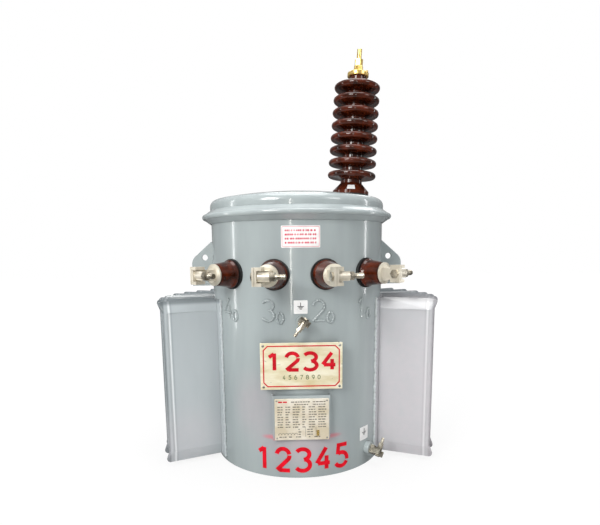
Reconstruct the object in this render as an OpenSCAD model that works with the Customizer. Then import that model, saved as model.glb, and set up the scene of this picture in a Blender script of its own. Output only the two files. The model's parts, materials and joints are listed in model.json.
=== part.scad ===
// Pole mounted distribution transformer: a round oil tank with a domed cover held by a
// clamp band, one high voltage bushing on the cover, four low voltage bushings in a row
// on the front, a fan of crimped cooling fins on each side and pole hangers at the back.
// The front faces -Y, +Z is up and the tank stands on z = 0 with its axis on the Z axis.
// An azimuth is counted from the front, positive towards +X.

/* [Tank] */
// Outer diameter of the tank
tank_d = 480; // [440:1:560]
// Height of the tank wall up to the seat of the cover
tank_h = 668; // [640:1:760]
// Thickness of the rolled tank wall
tank_wall_t = 4; // [3:0.5:6]
// Thickness of the flat tank bottom
bottom_t = 5; // [3:0.5:10]

/* [Cover and clamp band] */
// Width of the turned out rim on the tank and the cover
rim_w = 12; // [8:1:14]
// Thickness of each of the two rims
rim_t = 4; // [3:0.5:5]
// Height of the cover's crown above its seat
cover_rise = 68; // [60:1:90]
// Radius of the cover's shallow dome
dome_r = 1200; // [900:10:2000]
// Radius of the rounded shoulder of the cover
shoulder_r = 18; // [10:1:24]
// Sheet thickness of the cover
cover_t = 4; // [3:0.5:6]
// How far the cover's skirt stands outside the tank wall
skirt_step = 2; // [1:0.5:4]
// Height of the clamp band's section
band_h = 36; // [32:1:44]
// Depth of the clamp band from the cover's skirt to its nose
band_depth = 22.5; // [21:0.5:30]
// Radius of the clamp band's rounded nose
band_nose_r = 7; // [5:0.5:9]
// Gap between the two turned out ends of the band, at the back
band_gap = 18; // [12:1:30]
// Thickness of each ear
ear_t = 8; // [6:0.5:12]
// Diameter of the bolt that closes the band
band_bolt_d = 12; // [10:1:14]

/* [High voltage bushing] */
// Distance of the bushing's axis from the side of the tank, along the cover
hv_inset = 87; // [75:1:105]
// Outward lean of the bushing in degrees
hv_tilt = 3.4; // [0:0.1:8]
// Height of the welded collar that the bushing stands on
hv_collar_h = 4; // [3:0.5:15]
// Diameter of the welded collar
hv_collar_d = 98; // [90:1:102]
// Thickness of the gasket under the bushing
hv_gasket_t = 2.5; // [2:0.5:6]
// Diameter of the porcelain's foot
hv_foot_d = 101; // [96:1:112]
// Height of the straight edge of the foot
hv_foot_h = 8; // [5:1:12]
// Diameter of the neck between the foot and the lowest shed
hv_neck_d = 60; // [56:1:66]
// Height of the neck above the seat
hv_neck_z = 30; // [27:1:34]
// Height of the middle of the lowest shed above the seat
hv_shed_z = 51; // [49:1:56]
// Number of sheds
hv_sheds = 8; // [5:1:9]
// Distance from one shed to the next
hv_shed_pitch = 33.2; // [31:0.2:38]
// Diameter of the lowest shed
hv_shed_d = 134; // [124:1:146]
// Diameter of the highest shed
hv_shed_top_d = 124.5; // [112:1:132]
// Thickness of a shed at its rounded rim
hv_shed_t = 16.5; // [12:0.5:18]
// Extra thickness of a shed where it meets the core
hv_shed_root = 9; // [6:1:11]
// Diameter of the porcelain core between the sheds
hv_core_d = 60; // [56:1:68]
// Length of the porcelain's top end above the highest shed
hv_top_len = 28; // [20:1:30]
// Diameter of the porcelain's top end
hv_top_d = 46; // [42:1:52]
// Diameter of the dished brass cap
hv_cap_d = 58; // [54:1:62]
// Height of the dished brass cap
hv_cap_h = 12; // [9:0.5:16]
// Diameter of the terminal stud
hv_stud_d = 13; // [10:1:16]
// Height of the terminal stud above the cap
hv_stud_h = 60; // [54:1:80]
// Diameter of the through hole for the bushing in the cover
hv_hole_d = 66; // [58:1:72]

/* [Low voltage bushings] */
// Depth of the row of bushings below the seat of the cover
lv_drop = 148; // [125:1:180]
// Angle from one bushing to the next in degrees
lv_step_deg = 30; // [26:0.5:31]
// Diameter of the rubber gasket
lv_gasket_d = 76; // [73:1:82]
// Thickness of the gasket over the foremost line of the tank
lv_gasket_t = 5; // [3:0.5:8]
// Diameter of the porcelain's flange
lv_flange_d = 71; // [67:1:72]
// Thickness of the porcelain's flange
lv_flange_t = 13; // [9:0.5:15]
// Diameter of the porcelain's body at the flange
lv_body_d = 64; // [59:1:65]
// Diameter of the porcelain's body at its outer end
lv_body_end_d = 54; // [50:1:57]
// Length of the porcelain outside the gasket
lv_body_len = 47; // [38:1:60]
// Diameter of the through hole for the bushing in the tank wall
lv_hole_d = 44; // [36:1:50]
// Diameter of the round terminal disc
lv_disc_d = 53; // [48:1:58]
// Thickness of the terminal disc
lv_disc_t = 11; // [8:0.5:16]

/* [Wire clamps] */
// Distance of the clamp bolt from the face that carries the clamp
clamp_axis = 36; // [34:1:44]
// Width of the stem that carries the fixed jaw
stem_w = 26; // [22:1:30]
// Length of the stem
stem_len = 18; // [15:1:20]
// Height of both jaws
jaw_h = 42; // [38:1:48]
// Depth of both jaws along the bushing
jaw_depth = 27; // [24:1:30]
// Thickness of each jaw
jaw_t = 5; // [4:0.5:7]
// Reach of the two lips of the loose jaw
jaw_lip = 16; // [12:1:20]
// Thickness of the two lips
jaw_lip_t = 7.5; // [6:0.5:8.5]
// Length of the hub of the loose jaw along the bolt
hub_len = 28; // [22:1:32]
// Height of the hub
hub_h = 21; // [19:1:23]
// Diameter of the clamp bolt
clamp_bolt_d = 12; // [10:1:14]
// Width across flats of the clamp nut and bolt head
clamp_nut_af = 19; // [17:1:21]
// Thickness of the clamp nut and bolt head
clamp_nut_t = 11; // [8:0.5:14]
// Thickness of the low head of a clamp bolt
clamp_head_t = 4; // [3:0.5:6]
// Length of bolt that stands out beyond the nut
clamp_bolt_out = 24; // [15:1:32]

/* [Cooling fins] */
// Number of fins in each bank
fin_count = 8; // [5:1:8]
// Azimuth of the foremost fin
fin_first_az = 66.5; // [64:0.1:70]
// Angle from one fin to the next in degrees
fin_step_deg = 9.4; // [8.6:0.1:9.6]
// Distance of the fin tips from the tank axis
fin_tip_r = 388; // [360:1:420]
// Thickness of a fin's pocket
fin_t = 19; // [14:0.5:22]
// Height of the fins' lower edge above the ground
fin_bottom = 12; // [6:1:40]
// Distance of the fins' upper edge below the middle of the row of bushings
fin_drop = 70; // [60:1:100]
// Height of the crimped ends of a fin
crimp_h = 30; // [20:1:40]
// Thickness of the welded seam at a fin's crimped end
seam_t = 5; // [3:0.5:8]
// How far a crimped end reaches out beyond the fin's tip
seam_flare = 7; // [4:0.5:14]
// Radius of the rounded outer corner of a crimped end
seam_corner = 9; // [6:1:14]
// How far each face of a fin stands back from the bead at its tip
fin_recess = 1.5; // [0.5:0.5:3]
// Thickness of the curved base sheet of a bank
sheet_t = 4.5; // [3:0.5:6]
// Angle of base sheet left free beyond the outer fins in degrees
sheet_margin_deg = 7.6; // [5:0.1:9]

/* [Lifting lugs] */
// Distance of a lug's upper corner below the seat of the cover
lug_drop = 64; // [50:1:70]
// Gap between a lug's lower edge and the fins
lug_fin_gap = 30; // [20:1:40]
// Reach of a lug from the tank wall
lug_reach = 61; // [54:1:76]
// Radius of a lug's rounded outer corner
lug_corner = 32; // [24:1:36]
// Thickness of a lug plate
lug_t = 10; // [8:1:14]
// Diameter of the lifting hole
lug_hole_d = 17; // [14:1:22]
// Distance of the lifting hole from the tank wall
lug_hole_out = 24; // [20:1:28]
// Distance of the lifting hole below the lug's upper corner
lug_hole_drop = 44; // [42:1:54]

/* [Plate brackets] */
// Width of the bracket for the large front plate
name_w = 194; // [150:1:210]
// Height of the bracket for the large front plate
name_h = 110; // [90:1:114]
// Share of the free height under the bushings that lies above this bracket
name_share = 0.17; // [0.1:0.01:0.2]
// Width of the bracket for the data plate
rating_w = 144; // [110:1:170]
// Height of the bracket for the data plate
rating_h = 116; // [90:1:120]
// Share of the free height under the bushings that lies between the two brackets
rating_share = 0.09; // [0.05:0.01:0.14]
// Sheet thickness of the plate brackets
bracket_t = 2.5; // [2:0.5:4]
// Gap between the tank's foremost line and a bracket's web
bracket_standoff = 5; // [3:0.5:12]

/* [Earth terminals] */
// Azimuth of the earth terminal under the bushings
earth_az = 1; // [-4:0.5:4]
// Share of the free height under the bushings that lies above the earth terminal
earth_share = 0.28; // [0.2:0.01:0.36]
// Azimuth of the lower earth terminal
earth_low_az = 49; // [45:0.5:52]
// Height of the lower earth terminal
earth_low_z = 44; // [38:1:60]
// Diameter of the welded earth boss
earth_boss_d = 34; // [28:1:36]
// Length of the welded earth boss under the bushings
earth_boss_len = 8; // [6:1:20]
// Length of the lower welded earth boss
earth_low_boss_len = 14; // [8:1:30]
// Size of an earth clamp against a bushing's clamp
earth_scale = 0.66; // [0.55:0.01:0.72]
// Turn of the earth clamp under the bushings about its boss in degrees
earth_turn_deg = -125; // [-180:1:180]
// Turn of the lower earth clamp about its boss in degrees
earth_low_turn_deg = 50; // [0:1:90]

/* [Pole hangers] */
// Depth of the upper hanger's bolt below the seat of the cover
hanger_drop = 152; // [130:1:180]
// Distance between the bolts of the two hangers
hanger_pitch = 286; // [260:1:320]
// Width of a hanger
hanger_w = 110; // [90:1:120]
// Height of a hanger
hanger_h = 90; // [70:1:110]
// Reach of a hanger from the tank wall
hanger_reach = 62; // [48:1:90]
// Plate thickness of a hanger
hanger_t = 7; // [5:0.5:10]
// Width of the bolt slot
hanger_slot_w = 22; // [18:1:24]
// Length of the bolt slot
hanger_slot_len = 42; // [34:1:50]

/* [Hidden] */
$fn = 96;
fit_gap = 0.2;
overcut = 1;
tank_r = tank_d / 2;
tank_in_r = tank_r - tank_wall_t;
rim_r = tank_r + rim_w;

// Cover: the dome's centre, the skirt and the shoulder's centre
skirt_r = tank_r + skirt_step;
crown_z = tank_h + cover_rise;
dome_z = crown_z - dome_r;
band_in_r = skirt_r + 2 * fit_gap;
band_nose_c = skirt_r + band_depth - band_nose_r;
ear_z = band_h * 0.55;
ear_in_r = skirt_r + band_depth / 2;
band_bolt_r = skirt_r + band_depth + band_bolt_d + 2;
ear_len = band_bolt_r + band_bolt_d - ear_in_r;

// High voltage bushing, measured along its own axis from the top of the collar
hv_offset = tank_d / 2 - hv_inset;
hv_surface_z = dome_z + sqrt(pow(dome_r, 2) - pow(hv_offset, 2));
hv_base = hv_gasket_t;
hv_last_shed = hv_base + hv_shed_z + (hv_sheds - 1) * hv_shed_pitch;
hv_cap_z = hv_last_shed + hv_top_len;
hv_spigot_len = hv_collar_h + 3 * cover_t;
hv_nut_z = hv_cap_z + hv_cap_h + fit_gap;
hv_nut_h = 1.3 * hv_stud_d;
hv_shank_d = 0.85 * hv_stud_d;

// Low voltage bushings, measured outwards from the tank axis
lv_seat = tank_r + lv_gasket_t;
lv_end = lv_seat + lv_body_len;
lv_face = lv_end + lv_disc_t;
lv_spigot_start = tank_in_r - 3 * tank_wall_t;
lv_az = [for (i = [-1.5 : 1 : 1.5]) i * lv_step_deg];
lv_z = tank_h - lv_drop;

// Wire clamp: where the fixed jaw, the loose jaw and the nut stand along the bolt
jaw_gap = 1;
fixed_x = -hub_len / 2 - jaw_t - jaw_gap;
nut_x = fixed_x + 2 * jaw_t + jaw_gap + hub_len + fit_gap;

// Cooling fins
sheet_in_r = tank_r + fit_gap;
sheet_out_r = sheet_in_r + sheet_t;
fin_root_r = sheet_out_r + fit_gap;
fin_span = (fin_count - 1) * fin_step_deg;
fin_top = lv_z - fin_drop;
slice = 0.02;

// Lifting lugs
lug_top = tank_h - lug_drop;
lug_bottom = fin_top + lug_fin_gap;
lug_hole_z = lug_top - lug_hole_drop;

// Free height on the tank's front under the bushings, and how the pieces there share it
earth_h = jaw_h * earth_scale;
front_free = lv_z - lv_gasket_d / 2 - earth_h - name_h - rating_h;
earth_z = lv_z - lv_gasket_d / 2 - earth_share * front_free - earth_h / 2;
name_z = earth_z - earth_h / 2 - name_share * front_free - name_h / 2;
rating_z = name_z - name_h / 2 - rating_share * front_free - rating_h / 2;

// Pole hangers
hanger_upper_z = tank_h - hanger_drop;
hanger_lower_z = hanger_upper_z - hanger_pitch;

paint = [0.66, 0.69, 0.70];
glaze = [0.24, 0.09, 0.06];
bronze = [0.78, 0.74, 0.64];
gold = [0.80, 0.66, 0.28];
rubber = [0.06, 0.06, 0.06];

// Turns a piece from the front to an azimuth
module at_azimuth(az) {
    rotate([0, 0, az]) children();
}

// Frame on the tank: X along the wall to the right, Y up, Z outwards from the tank axis
module radial(az, z) {
    at_azimuth(az) translate([0, 0, z]) rotate([90, 0, 0]) children();
}

// What is left of a piece outside the tank wall
module outside_tank() {
    difference() {
        children();
        translate([0, 0, -tank_h]) cylinder(r = tank_r + fit_gap, h = 3 * tank_h);
    }
}

// Ring or disc with its axis on Z
module ring(outer, inner, h) {
    difference() {
        cylinder(r = outer, h = h);
        translate([0, 0, -overcut]) cylinder(r = inner, h = h + 2 * overcut);
    }
}

// Hexagonal bar by its width across flats
module hexagon(af, h) {
    cylinder(d = af / cos(30), h = h, $fn = 6);
}

// Bar along X that starts at x
module along_x(x) {
    translate([x, 0, 0]) rotate([0, 90, 0]) children();
}

module tank_wall() {
    color(paint) difference() {
        union() {
            cylinder(r = tank_r, h = tank_h);
            translate([0, 0, tank_h - rim_t]) cylinder(r = rim_r, h = rim_t);
        }
        translate([0, 0, -overcut]) cylinder(r = tank_in_r, h = tank_h + 2 * overcut);
        for (az = lv_az)
            radial(az, lv_z) translate([0, 0, lv_spigot_start]) cylinder(d = lv_hole_d, h = tank_r);
    }
}

module tank_bottom() {
    color(paint) cylinder(r = tank_in_r - fit_gap, h = bottom_t);
}

// Half section of the domed cover, shrunk inwards by inset
module cover_section(inset) {
    dome = dome_r - inset;
    skirt = skirt_r - inset;
    round_r = max(shoulder_r - inset, 1);
    round_z = dome_z + sqrt(pow(dome - round_r, 2) - pow(skirt - round_r, 2));
    touch_r = (skirt - round_r) * dome / (dome - round_r);
    intersection() {
        translate([0, dome_z]) circle(r = dome, $fn = 360);
        translate([0, tank_h]) square([touch_r, cover_rise + overcut]);
    }
    translate([skirt - round_r, round_z]) circle(r = round_r);
    translate([0, tank_h]) square([skirt, round_z - tank_h]);
}

module cover() {
    color(paint) difference() {
        rotate_extrude() difference() {
            union() {
                cover_section(0);
                translate([0, tank_h]) square([rim_r, rim_t]);
            }
            cover_section(cover_t);
        }
        hv_axis() translate([0, 0, -hv_foot_d]) cylinder(d = hv_hole_d, h = 2 * hv_foot_d);
    }
}

// Half section of the clamp band: flanks that run to a round nose, with a groove for the rims
module band_section() {
    lean = asin(band_nose_r / norm([band_h / 2, band_nose_c - band_in_r]))
        + atan2(band_h / 2, band_nose_c - band_in_r);
    touch = band_nose_r * [sin(lean), cos(lean)];
    difference() {
        union() {
            translate([band_nose_c, tank_h]) circle(r = band_nose_r);
            polygon([[band_in_r, tank_h - band_h / 2], [band_in_r, tank_h + band_h / 2],
                [band_nose_c + touch.x, tank_h + touch.y], [band_nose_c + touch.x, tank_h - touch.y]]);
        }
        translate([0, tank_h - rim_t - fit_gap])
            square([rim_r + fit_gap, 2 * (rim_t + fit_gap)]);
    }
}

module clamp_band() {
    color(paint) difference() {
        union() {
            rotate_extrude() band_section();
            at_azimuth(180) for (side = [-1, 1])
                translate([side * (band_gap + ear_t) / 2, -ear_in_r - ear_len / 2, tank_h])
                    cube([ear_t, ear_len, ear_z], center = true);
        }
        translate([-band_gap / 2, 0, tank_h - band_h]) cube([band_gap, 2 * rim_r, 2 * band_h]);
        band_bolt_axis() cylinder(d = band_bolt_d + 2 * fit_gap, h = 4 * band_gap, center = true);
        translate([0, 0, tank_h - band_h / 2]) cylinder(r = skirt_r + fit_gap, h = band_h);
        translate([0, 0, tank_h - rim_t - fit_gap]) cylinder(r = rim_r + fit_gap, h = 2 * (rim_t + fit_gap));
    }
}

module band_bolt_axis() {
    translate([0, band_bolt_r, tank_h]) rotate([0, 90, 0]) children();
}

module band_bolt() {
    reach = band_gap / 2 + ear_t + fit_gap;
    head_t = 0.65 * band_bolt_d;
    color("silver") band_bolt_axis() {
        translate([0, 0, -reach - head_t]) hexagon(1.6 * band_bolt_d, head_t);
        translate([0, 0, -reach - head_t / 2]) cylinder(d = band_bolt_d, h = 2 * reach + 2.5 * band_bolt_d);
        translate([0, 0, reach]) hexagon(1.6 * band_bolt_d, 0.8 * band_bolt_d);
    }
}

// Axis of the high voltage bushing, with z = 0 on top of the collar
module hv_axis() {
    translate([hv_offset, 0, hv_surface_z]) rotate([0, hv_tilt, 0])
        translate([0, 0, hv_collar_h]) children();
}

module hv_collar() {
    color(paint) difference() {
        hv_axis() translate([0, 0, -hv_collar_d]) ring(hv_collar_d / 2, hv_hole_d / 2, hv_collar_d);
        translate([0, 0, dome_z]) sphere(r = dome_r + fit_gap, $fn = 200);
    }
}

module hv_gasket() {
    color(rubber) hv_axis() ring(hv_foot_d / 2, hv_hole_d / 2, hv_gasket_t);
}

// One shed: a disc that thins outwards to a full round rim
module shed_section(z, d) {
    rim = hv_shed_t / 2;
    root = rim + hv_shed_root / 2;
    translate([d / 2 - rim, z]) circle(r = rim, $fn = 48);
    polygon([[0, z - root], [hv_core_d / 2, z - root], [d / 2 - rim, z - rim],
        [d / 2 - rim, z + rim], [hv_core_d / 2, z + root], [0, z + root]]);
}

module hv_porcelain() {
    color(glaze) hv_axis() rotate_extrude() {
        translate([0, -hv_spigot_len]) square([hv_hole_d / 2 - fit_gap, hv_spigot_len + hv_base]);
        polygon([[0, hv_base], [hv_foot_d / 2, hv_base], [hv_foot_d / 2, hv_base + hv_foot_h],
            [hv_neck_d / 2, hv_base + hv_neck_z], [hv_neck_d / 2, hv_base + hv_shed_z],
            [0, hv_base + hv_shed_z]]);
        translate([0, hv_base + hv_neck_z]) square([hv_core_d / 2, hv_last_shed - hv_base - hv_neck_z]);
        translate([0, hv_last_shed]) square([hv_top_d / 2, hv_top_len]);
        for (i = [0 : hv_sheds - 1])
            shed_section(hv_base + hv_shed_z + i * hv_shed_pitch,
                hv_shed_d + (hv_shed_top_d - hv_shed_d) * i / (hv_sheds - 1));
    }
}

// Brass disc on the porcelain, with the low round head of a bleed screw near its right edge
module hv_cap() {
    bevel = 0.15 * hv_cap_h;
    screw_d = 0.2 * hv_cap_d;
    color(gold) hv_axis() translate([0, 0, hv_cap_z]) difference() {
        union() {
            rotate_extrude() polygon([[0, 0], [hv_cap_d / 2 - bevel, 0], [hv_cap_d / 2, bevel],
                [hv_cap_d / 2, hv_cap_h - bevel], [hv_cap_d / 2 - bevel, hv_cap_h], [0, hv_cap_h]]);
            translate([hv_cap_d / 2 - bevel - screw_d / 2, 0, 0])
                cylinder(d = screw_d, h = hv_cap_h + 0.6 * screw_d);
        }
        translate([0, 0, -overcut]) cylinder(d = hv_shank_d + 2 * fit_gap, h = hv_cap_h + 2 * overcut);
    }
}

// Stud with a thinner threaded shank through the cap and the nuts and a plain free end above them
module hv_stud() {
    free_z = hv_cap_h + 2 * fit_gap + 2 * hv_nut_h;
    color(gold) hv_axis() translate([0, 0, hv_cap_z]) {
        cylinder(d = hv_shank_d, h = free_z);
        translate([0, 0, free_z]) cylinder(d = hv_stud_d, h = hv_cap_h + hv_stud_h - free_z);
    }
}

// Two lock nuts on the stud, the upper one a little smaller
module hv_nuts() {
    color(gold) hv_axis() translate([0, 0, hv_nut_z]) difference() {
        union() {
            cylinder(d = 2.05 * hv_stud_d, h = 0.25 * hv_nut_h);
            rotate([0, 0, 12]) hexagon(1.72 * hv_stud_d, hv_nut_h);
            rotate([0, 0, 38]) hexagon(1.5 * hv_stud_d, 2 * hv_nut_h);
        }
        translate([0, 0, -overcut]) cylinder(d = hv_shank_d + 2 * fit_gap, h = 2 * hv_nut_h + 2 * overcut);
    }
}

// Rubber ring that is moulded to the round wall behind it
module lv_gasket(i) {
    color(rubber) outside_tank() radial(lv_az[i], lv_z)
        translate([0, 0, tank_in_r - lv_gasket_t])
            ring(lv_gasket_d / 2, lv_hole_d / 2, lv_seat - tank_in_r + lv_gasket_t);
}

module lv_porcelain(i) {
    spigot = lv_hole_d / 2 - fit_gap;
    bevel = 0.25 * lv_flange_t;
    flange_end = lv_seat + lv_flange_t;
    color(glaze) radial(lv_az[i], lv_z) rotate_extrude() polygon([[0, lv_spigot_start],
        [spigot, lv_spigot_start], [spigot, lv_seat],
        [lv_flange_d / 2 - bevel, lv_seat], [lv_flange_d / 2, lv_seat + bevel],
        [lv_flange_d / 2, flange_end - 2 * bevel], [lv_flange_d / 2 - bevel, flange_end - bevel / 2],
        [lv_body_d / 2, flange_end], [lv_body_end_d / 2, lv_end], [0, lv_end]]);
}

// Round disc on the porcelain with the fixed half of the wire clamp on its face
module lv_terminal(i) {
    bevel = 0.3 * lv_disc_t;
    color(bronze) radial(lv_az[i], lv_z) {
        rotate_extrude() polygon([[0, lv_end], [lv_disc_d / 2 - bevel, lv_end],
            [lv_disc_d / 2, lv_end + bevel], [lv_disc_d / 2, lv_face - bevel],
            [lv_disc_d / 2 - 2 * bevel, lv_face], [0, lv_face]]);
        translate([0, 0, lv_face]) clamp_body();
    }
}

module lv_jaw(i) {
    color(bronze) radial(lv_az[i], lv_z) translate([0, 0, lv_face]) clamp_jaw();
}

module lv_bolt(i) {
    color(bronze) radial(lv_az[i], lv_z) translate([0, 0, lv_face]) clamp_bolt();
}

// Fixed half of a wire clamp: a stem that carries an upright jaw beside its axis.
// z = 0 is the face that carries it, and the bolt runs along X.
module clamp_body() {
    jaw_z = clamp_axis - jaw_depth / 2;
    difference() {
        union() {
            translate([fixed_x, -stem_w / 2, 0]) cube([stem_w - fixed_x - stem_w / 2, stem_w, stem_len]);
            translate([fixed_x, -stem_w / 2, 0]) cube([jaw_t, stem_w, clamp_axis]);
            translate([fixed_x, -jaw_h / 2, jaw_z]) cube([jaw_t, jaw_h, jaw_depth]);
        }
        bolt_hole();
    }
}

module bolt_hole() {
    translate([0, 0, clamp_axis]) along_x(-2 * hub_len)
        cylinder(d = clamp_bolt_d + 2 * fit_gap, h = 4 * hub_len);
}

// Loose half of a wire clamp: an upright jaw with two lips and a rounded hub for the bolt
module clamp_jaw() {
    x0 = fixed_x + jaw_t + jaw_gap;
    jaw_z = max(clamp_axis - jaw_depth / 2, stem_len + jaw_gap);
    depth = clamp_axis + jaw_depth / 2 - jaw_z;
    difference() {
        union() {
            translate([x0, -jaw_h / 2, jaw_z]) cube([jaw_t, jaw_h, depth]);
            for (side = [-1, 1])
                translate([x0, side * (jaw_h - jaw_lip_t) / 2 - jaw_lip_t / 2, jaw_z])
                    cube([jaw_lip, jaw_lip_t, depth]);
            translate([0, 0, clamp_axis]) along_x(x0) cylinder(d = hub_h, h = jaw_t + hub_len);
            translate([x0, -hub_h / 2, clamp_axis]) cube([jaw_t + hub_len, hub_h, hub_h / 3]);
        }
        bolt_hole();
    }
}

// Bolt with its head against the fixed jaw and its nut against the hub of the loose jaw
module clamp_bolt() {
    head_x = fixed_x - fit_gap;
    translate([0, 0, clamp_axis]) {
        along_x(head_x - clamp_head_t) hexagon(clamp_nut_af, clamp_head_t);
        along_x(nut_x) hexagon(clamp_nut_af, clamp_nut_t);
        along_x(head_x - clamp_head_t / 2)
            cylinder(d = clamp_bolt_d, h = nut_x - head_x + clamp_head_t / 2 + clamp_nut_t + clamp_bolt_out);
    }
}

// Plan of a fin's pocket: flat faces that stand back a little from the round bead at the tip
module fin_plan() {
    panel_t = fin_t - 2 * fin_recess;
    translate([-panel_t / 2, fin_t / 2 - fin_tip_r]) square([panel_t, fin_tip_r - fin_t / 2 - fin_root_r]);
    translate([0, fin_t / 2 - fin_tip_r]) circle(d = fin_t, $fn = 32);
}

// Upper end of a fin from z = 0: pressed to a flat seam that flares out to a rounded corner
module fin_end() {
    corner_r = fin_tip_r + seam_flare - seam_corner;
    hull() {
        linear_extrude(slice) fin_plan();
        translate([-seam_t / 2, -corner_r, crimp_h - slice]) cube([seam_t, corner_r - fin_root_r, slice]);
        translate([0, -corner_r, crimp_h - seam_corner]) along_x(-seam_t / 2)
            cylinder(r = seam_corner, h = seam_t, $fn = 32);
    }
}

// A fin that is pressed flat at both ends
module fin() {
    translate([0, 0, fin_bottom + crimp_h]) linear_extrude(fin_top - fin_bottom - 2 * crimp_h) fin_plan();
    translate([0, 0, fin_top - crimp_h]) fin_end();
    translate([0, 0, fin_bottom + crimp_h]) mirror([0, 0, 1]) fin_end();
}

// A bank of fins, on the left with side = -1 and on the right with side = 1
module fins(side) {
    color(paint) for (i = [0 : fin_count - 1])
        at_azimuth(side * (fin_first_az + i * fin_step_deg)) fin();
}

// Curved sheet that carries a bank of fins
module fin_sheet(side) {
    first = side > 0 ? fin_first_az - sheet_margin_deg : -fin_first_az - fin_span - sheet_margin_deg;
    color(paint) rotate([0, 0, first - 90]) rotate_extrude(angle = fin_span + 2 * sheet_margin_deg)
        translate([sheet_in_r, fin_bottom]) square([sheet_t, fin_top - fin_bottom]);
}

// Lifting lug: a sloped plate on edge, with a rounded outer corner and a hole
module lifting_lug(side) {
    reach_r = tank_r + lug_reach;
    centre = [reach_r - lug_corner, lug_top - 2 * lug_corner];
    color(paint) outside_tank() at_azimuth(side * 90) translate([lug_t / 2, 0, 0]) rotate([90, 0, -90])
        linear_extrude(lug_t) difference() {
            union() {
                polygon([[tank_in_r, lug_bottom], [reach_r, lug_bottom], [reach_r, centre.y],
                    centre + lug_corner * [cos(45), sin(45)],
                    [tank_r + lug_t / 2, lug_top], [tank_in_r, lug_top]]);
                translate(centre) circle(r = lug_corner);
            }
            translate([tank_r + lug_hole_out, lug_hole_z]) circle(d = lug_hole_d);
        }
}

// Bracket for a plate: a flat web with a flange at each side that meets the round tank
module plate_bracket(w, h, z) {
    front = tank_r + bracket_standoff + bracket_t;
    outside_tank() translate([0, 0, z - h / 2]) difference() {
        translate([-w / 2, -front, 0]) cube([w, front, h]);
        translate([bracket_t - w / 2, bracket_t - front, -overcut])
            cube([w - 2 * bracket_t, front, h + 2 * overcut]);
    }
}

module name_bracket() {
    color(paint) plate_bracket(name_w, name_h, name_z);
}

module rating_bracket() {
    color(paint) plate_bracket(rating_w, rating_h, rating_z);
}

// Welded boss on the tank with a flat end face
module earth_boss(az, z, len) {
    outside_tank() radial(az, z) translate([0, 0, tank_in_r])
        cylinder(d = earth_boss_d, h = tank_r + len - tank_in_r);
}

module earth_bosses() {
    color(paint) {
        earth_boss(earth_az, earth_z, earth_boss_len);
        earth_boss(earth_low_az, earth_low_z, earth_low_boss_len);
    }
}

// A small wire clamp on a boss, turned about the boss
module earth_clamp(az, z, len, turn) {
    radial(az, z) translate([0, 0, tank_r + len + fit_gap]) rotate([0, 0, turn]) scale(earth_scale) {
        clamp_body();
        clamp_jaw();
        clamp_bolt();
    }
}

module earth_clamps() {
    color(bronze) {
        earth_clamp(earth_az, earth_z, earth_boss_len, earth_turn_deg);
        earth_clamp(earth_low_az, earth_low_z, earth_low_boss_len, earth_low_turn_deg);
    }
}

// Hanger for a pole bolt: a bent plate with two cheeks and an upright slot
module hanger(z) {
    out_r = tank_r + hanger_reach;
    cheek_w = hanger_w - 2 * hanger_t;
    half_slot = (hanger_slot_len - hanger_slot_w) / 2;
    color(paint) outside_tank() translate([0, 0, z]) difference() {
        translate([-hanger_w / 2, 0, -hanger_h / 2]) cube([hanger_w, out_r, hanger_h]);
        translate([-cheek_w / 2, -hanger_t, -hanger_h]) cube([cheek_w, out_r, 2 * hanger_h]);
        for (end = [-1, 1])
            translate([0, 0, end * half_slot]) rotate([-90, 0, 0]) cylinder(d = hanger_slot_w, h = 2 * out_r);
        translate([-hanger_slot_w / 2, 0, -half_slot]) cube([hanger_slot_w, 2 * out_r, 2 * half_slot]);
    }
}

tank_wall();
tank_bottom();
cover();
clamp_band();
band_bolt();
hv_collar();
hv_gasket();
hv_porcelain();
hv_cap();
hv_stud();
hv_nuts();
lv_gasket(0);  // lv1_gasket
lv_porcelain(0);  // lv1_porcelain
lv_terminal(0);  // lv1_terminal
lv_jaw(0);  // lv1_jaw
lv_bolt(0);  // lv1_bolt
lv_gasket(1);  // lv2_gasket
lv_porcelain(1);  // lv2_porcelain
lv_terminal(1);  // lv2_terminal
lv_jaw(1);  // lv2_jaw
lv_bolt(1);  // lv2_bolt
lv_gasket(2);  // lv3_gasket
lv_porcelain(2);  // lv3_porcelain
lv_terminal(2);  // lv3_terminal
lv_jaw(2);  // lv3_jaw
lv_bolt(2);  // lv3_bolt
lv_gasket(3);  // lv4_gasket
lv_porcelain(3);  // lv4_porcelain
lv_terminal(3);  // lv4_terminal
lv_jaw(3);  // lv4_jaw
lv_bolt(3);  // lv4_bolt
fin_sheet(-1);  // fin_sheet_left
fin_sheet(1);  // fin_sheet_right
fins(-1);  // fins_left
fins(1);  // fins_right
lifting_lug(-1);  // lifting_lug_left
lifting_lug(1);  // lifting_lug_right
name_bracket();
rating_bracket();
earth_bosses();
earth_clamps();
hanger(hanger_upper_z);  // hanger_upper
hanger(hanger_lower_z);  // hanger_lower
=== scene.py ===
"""Looks of the pole mounted transformer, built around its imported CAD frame.

Metres, +Z up, the front faces -Y. An azimuth is in degrees from the front, positive towards +X.
A place function maps (right, up, out) on a surface to a point in space.
"""
import json
import math
import random

import bpy
from mathutils import Matrix, Vector

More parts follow.
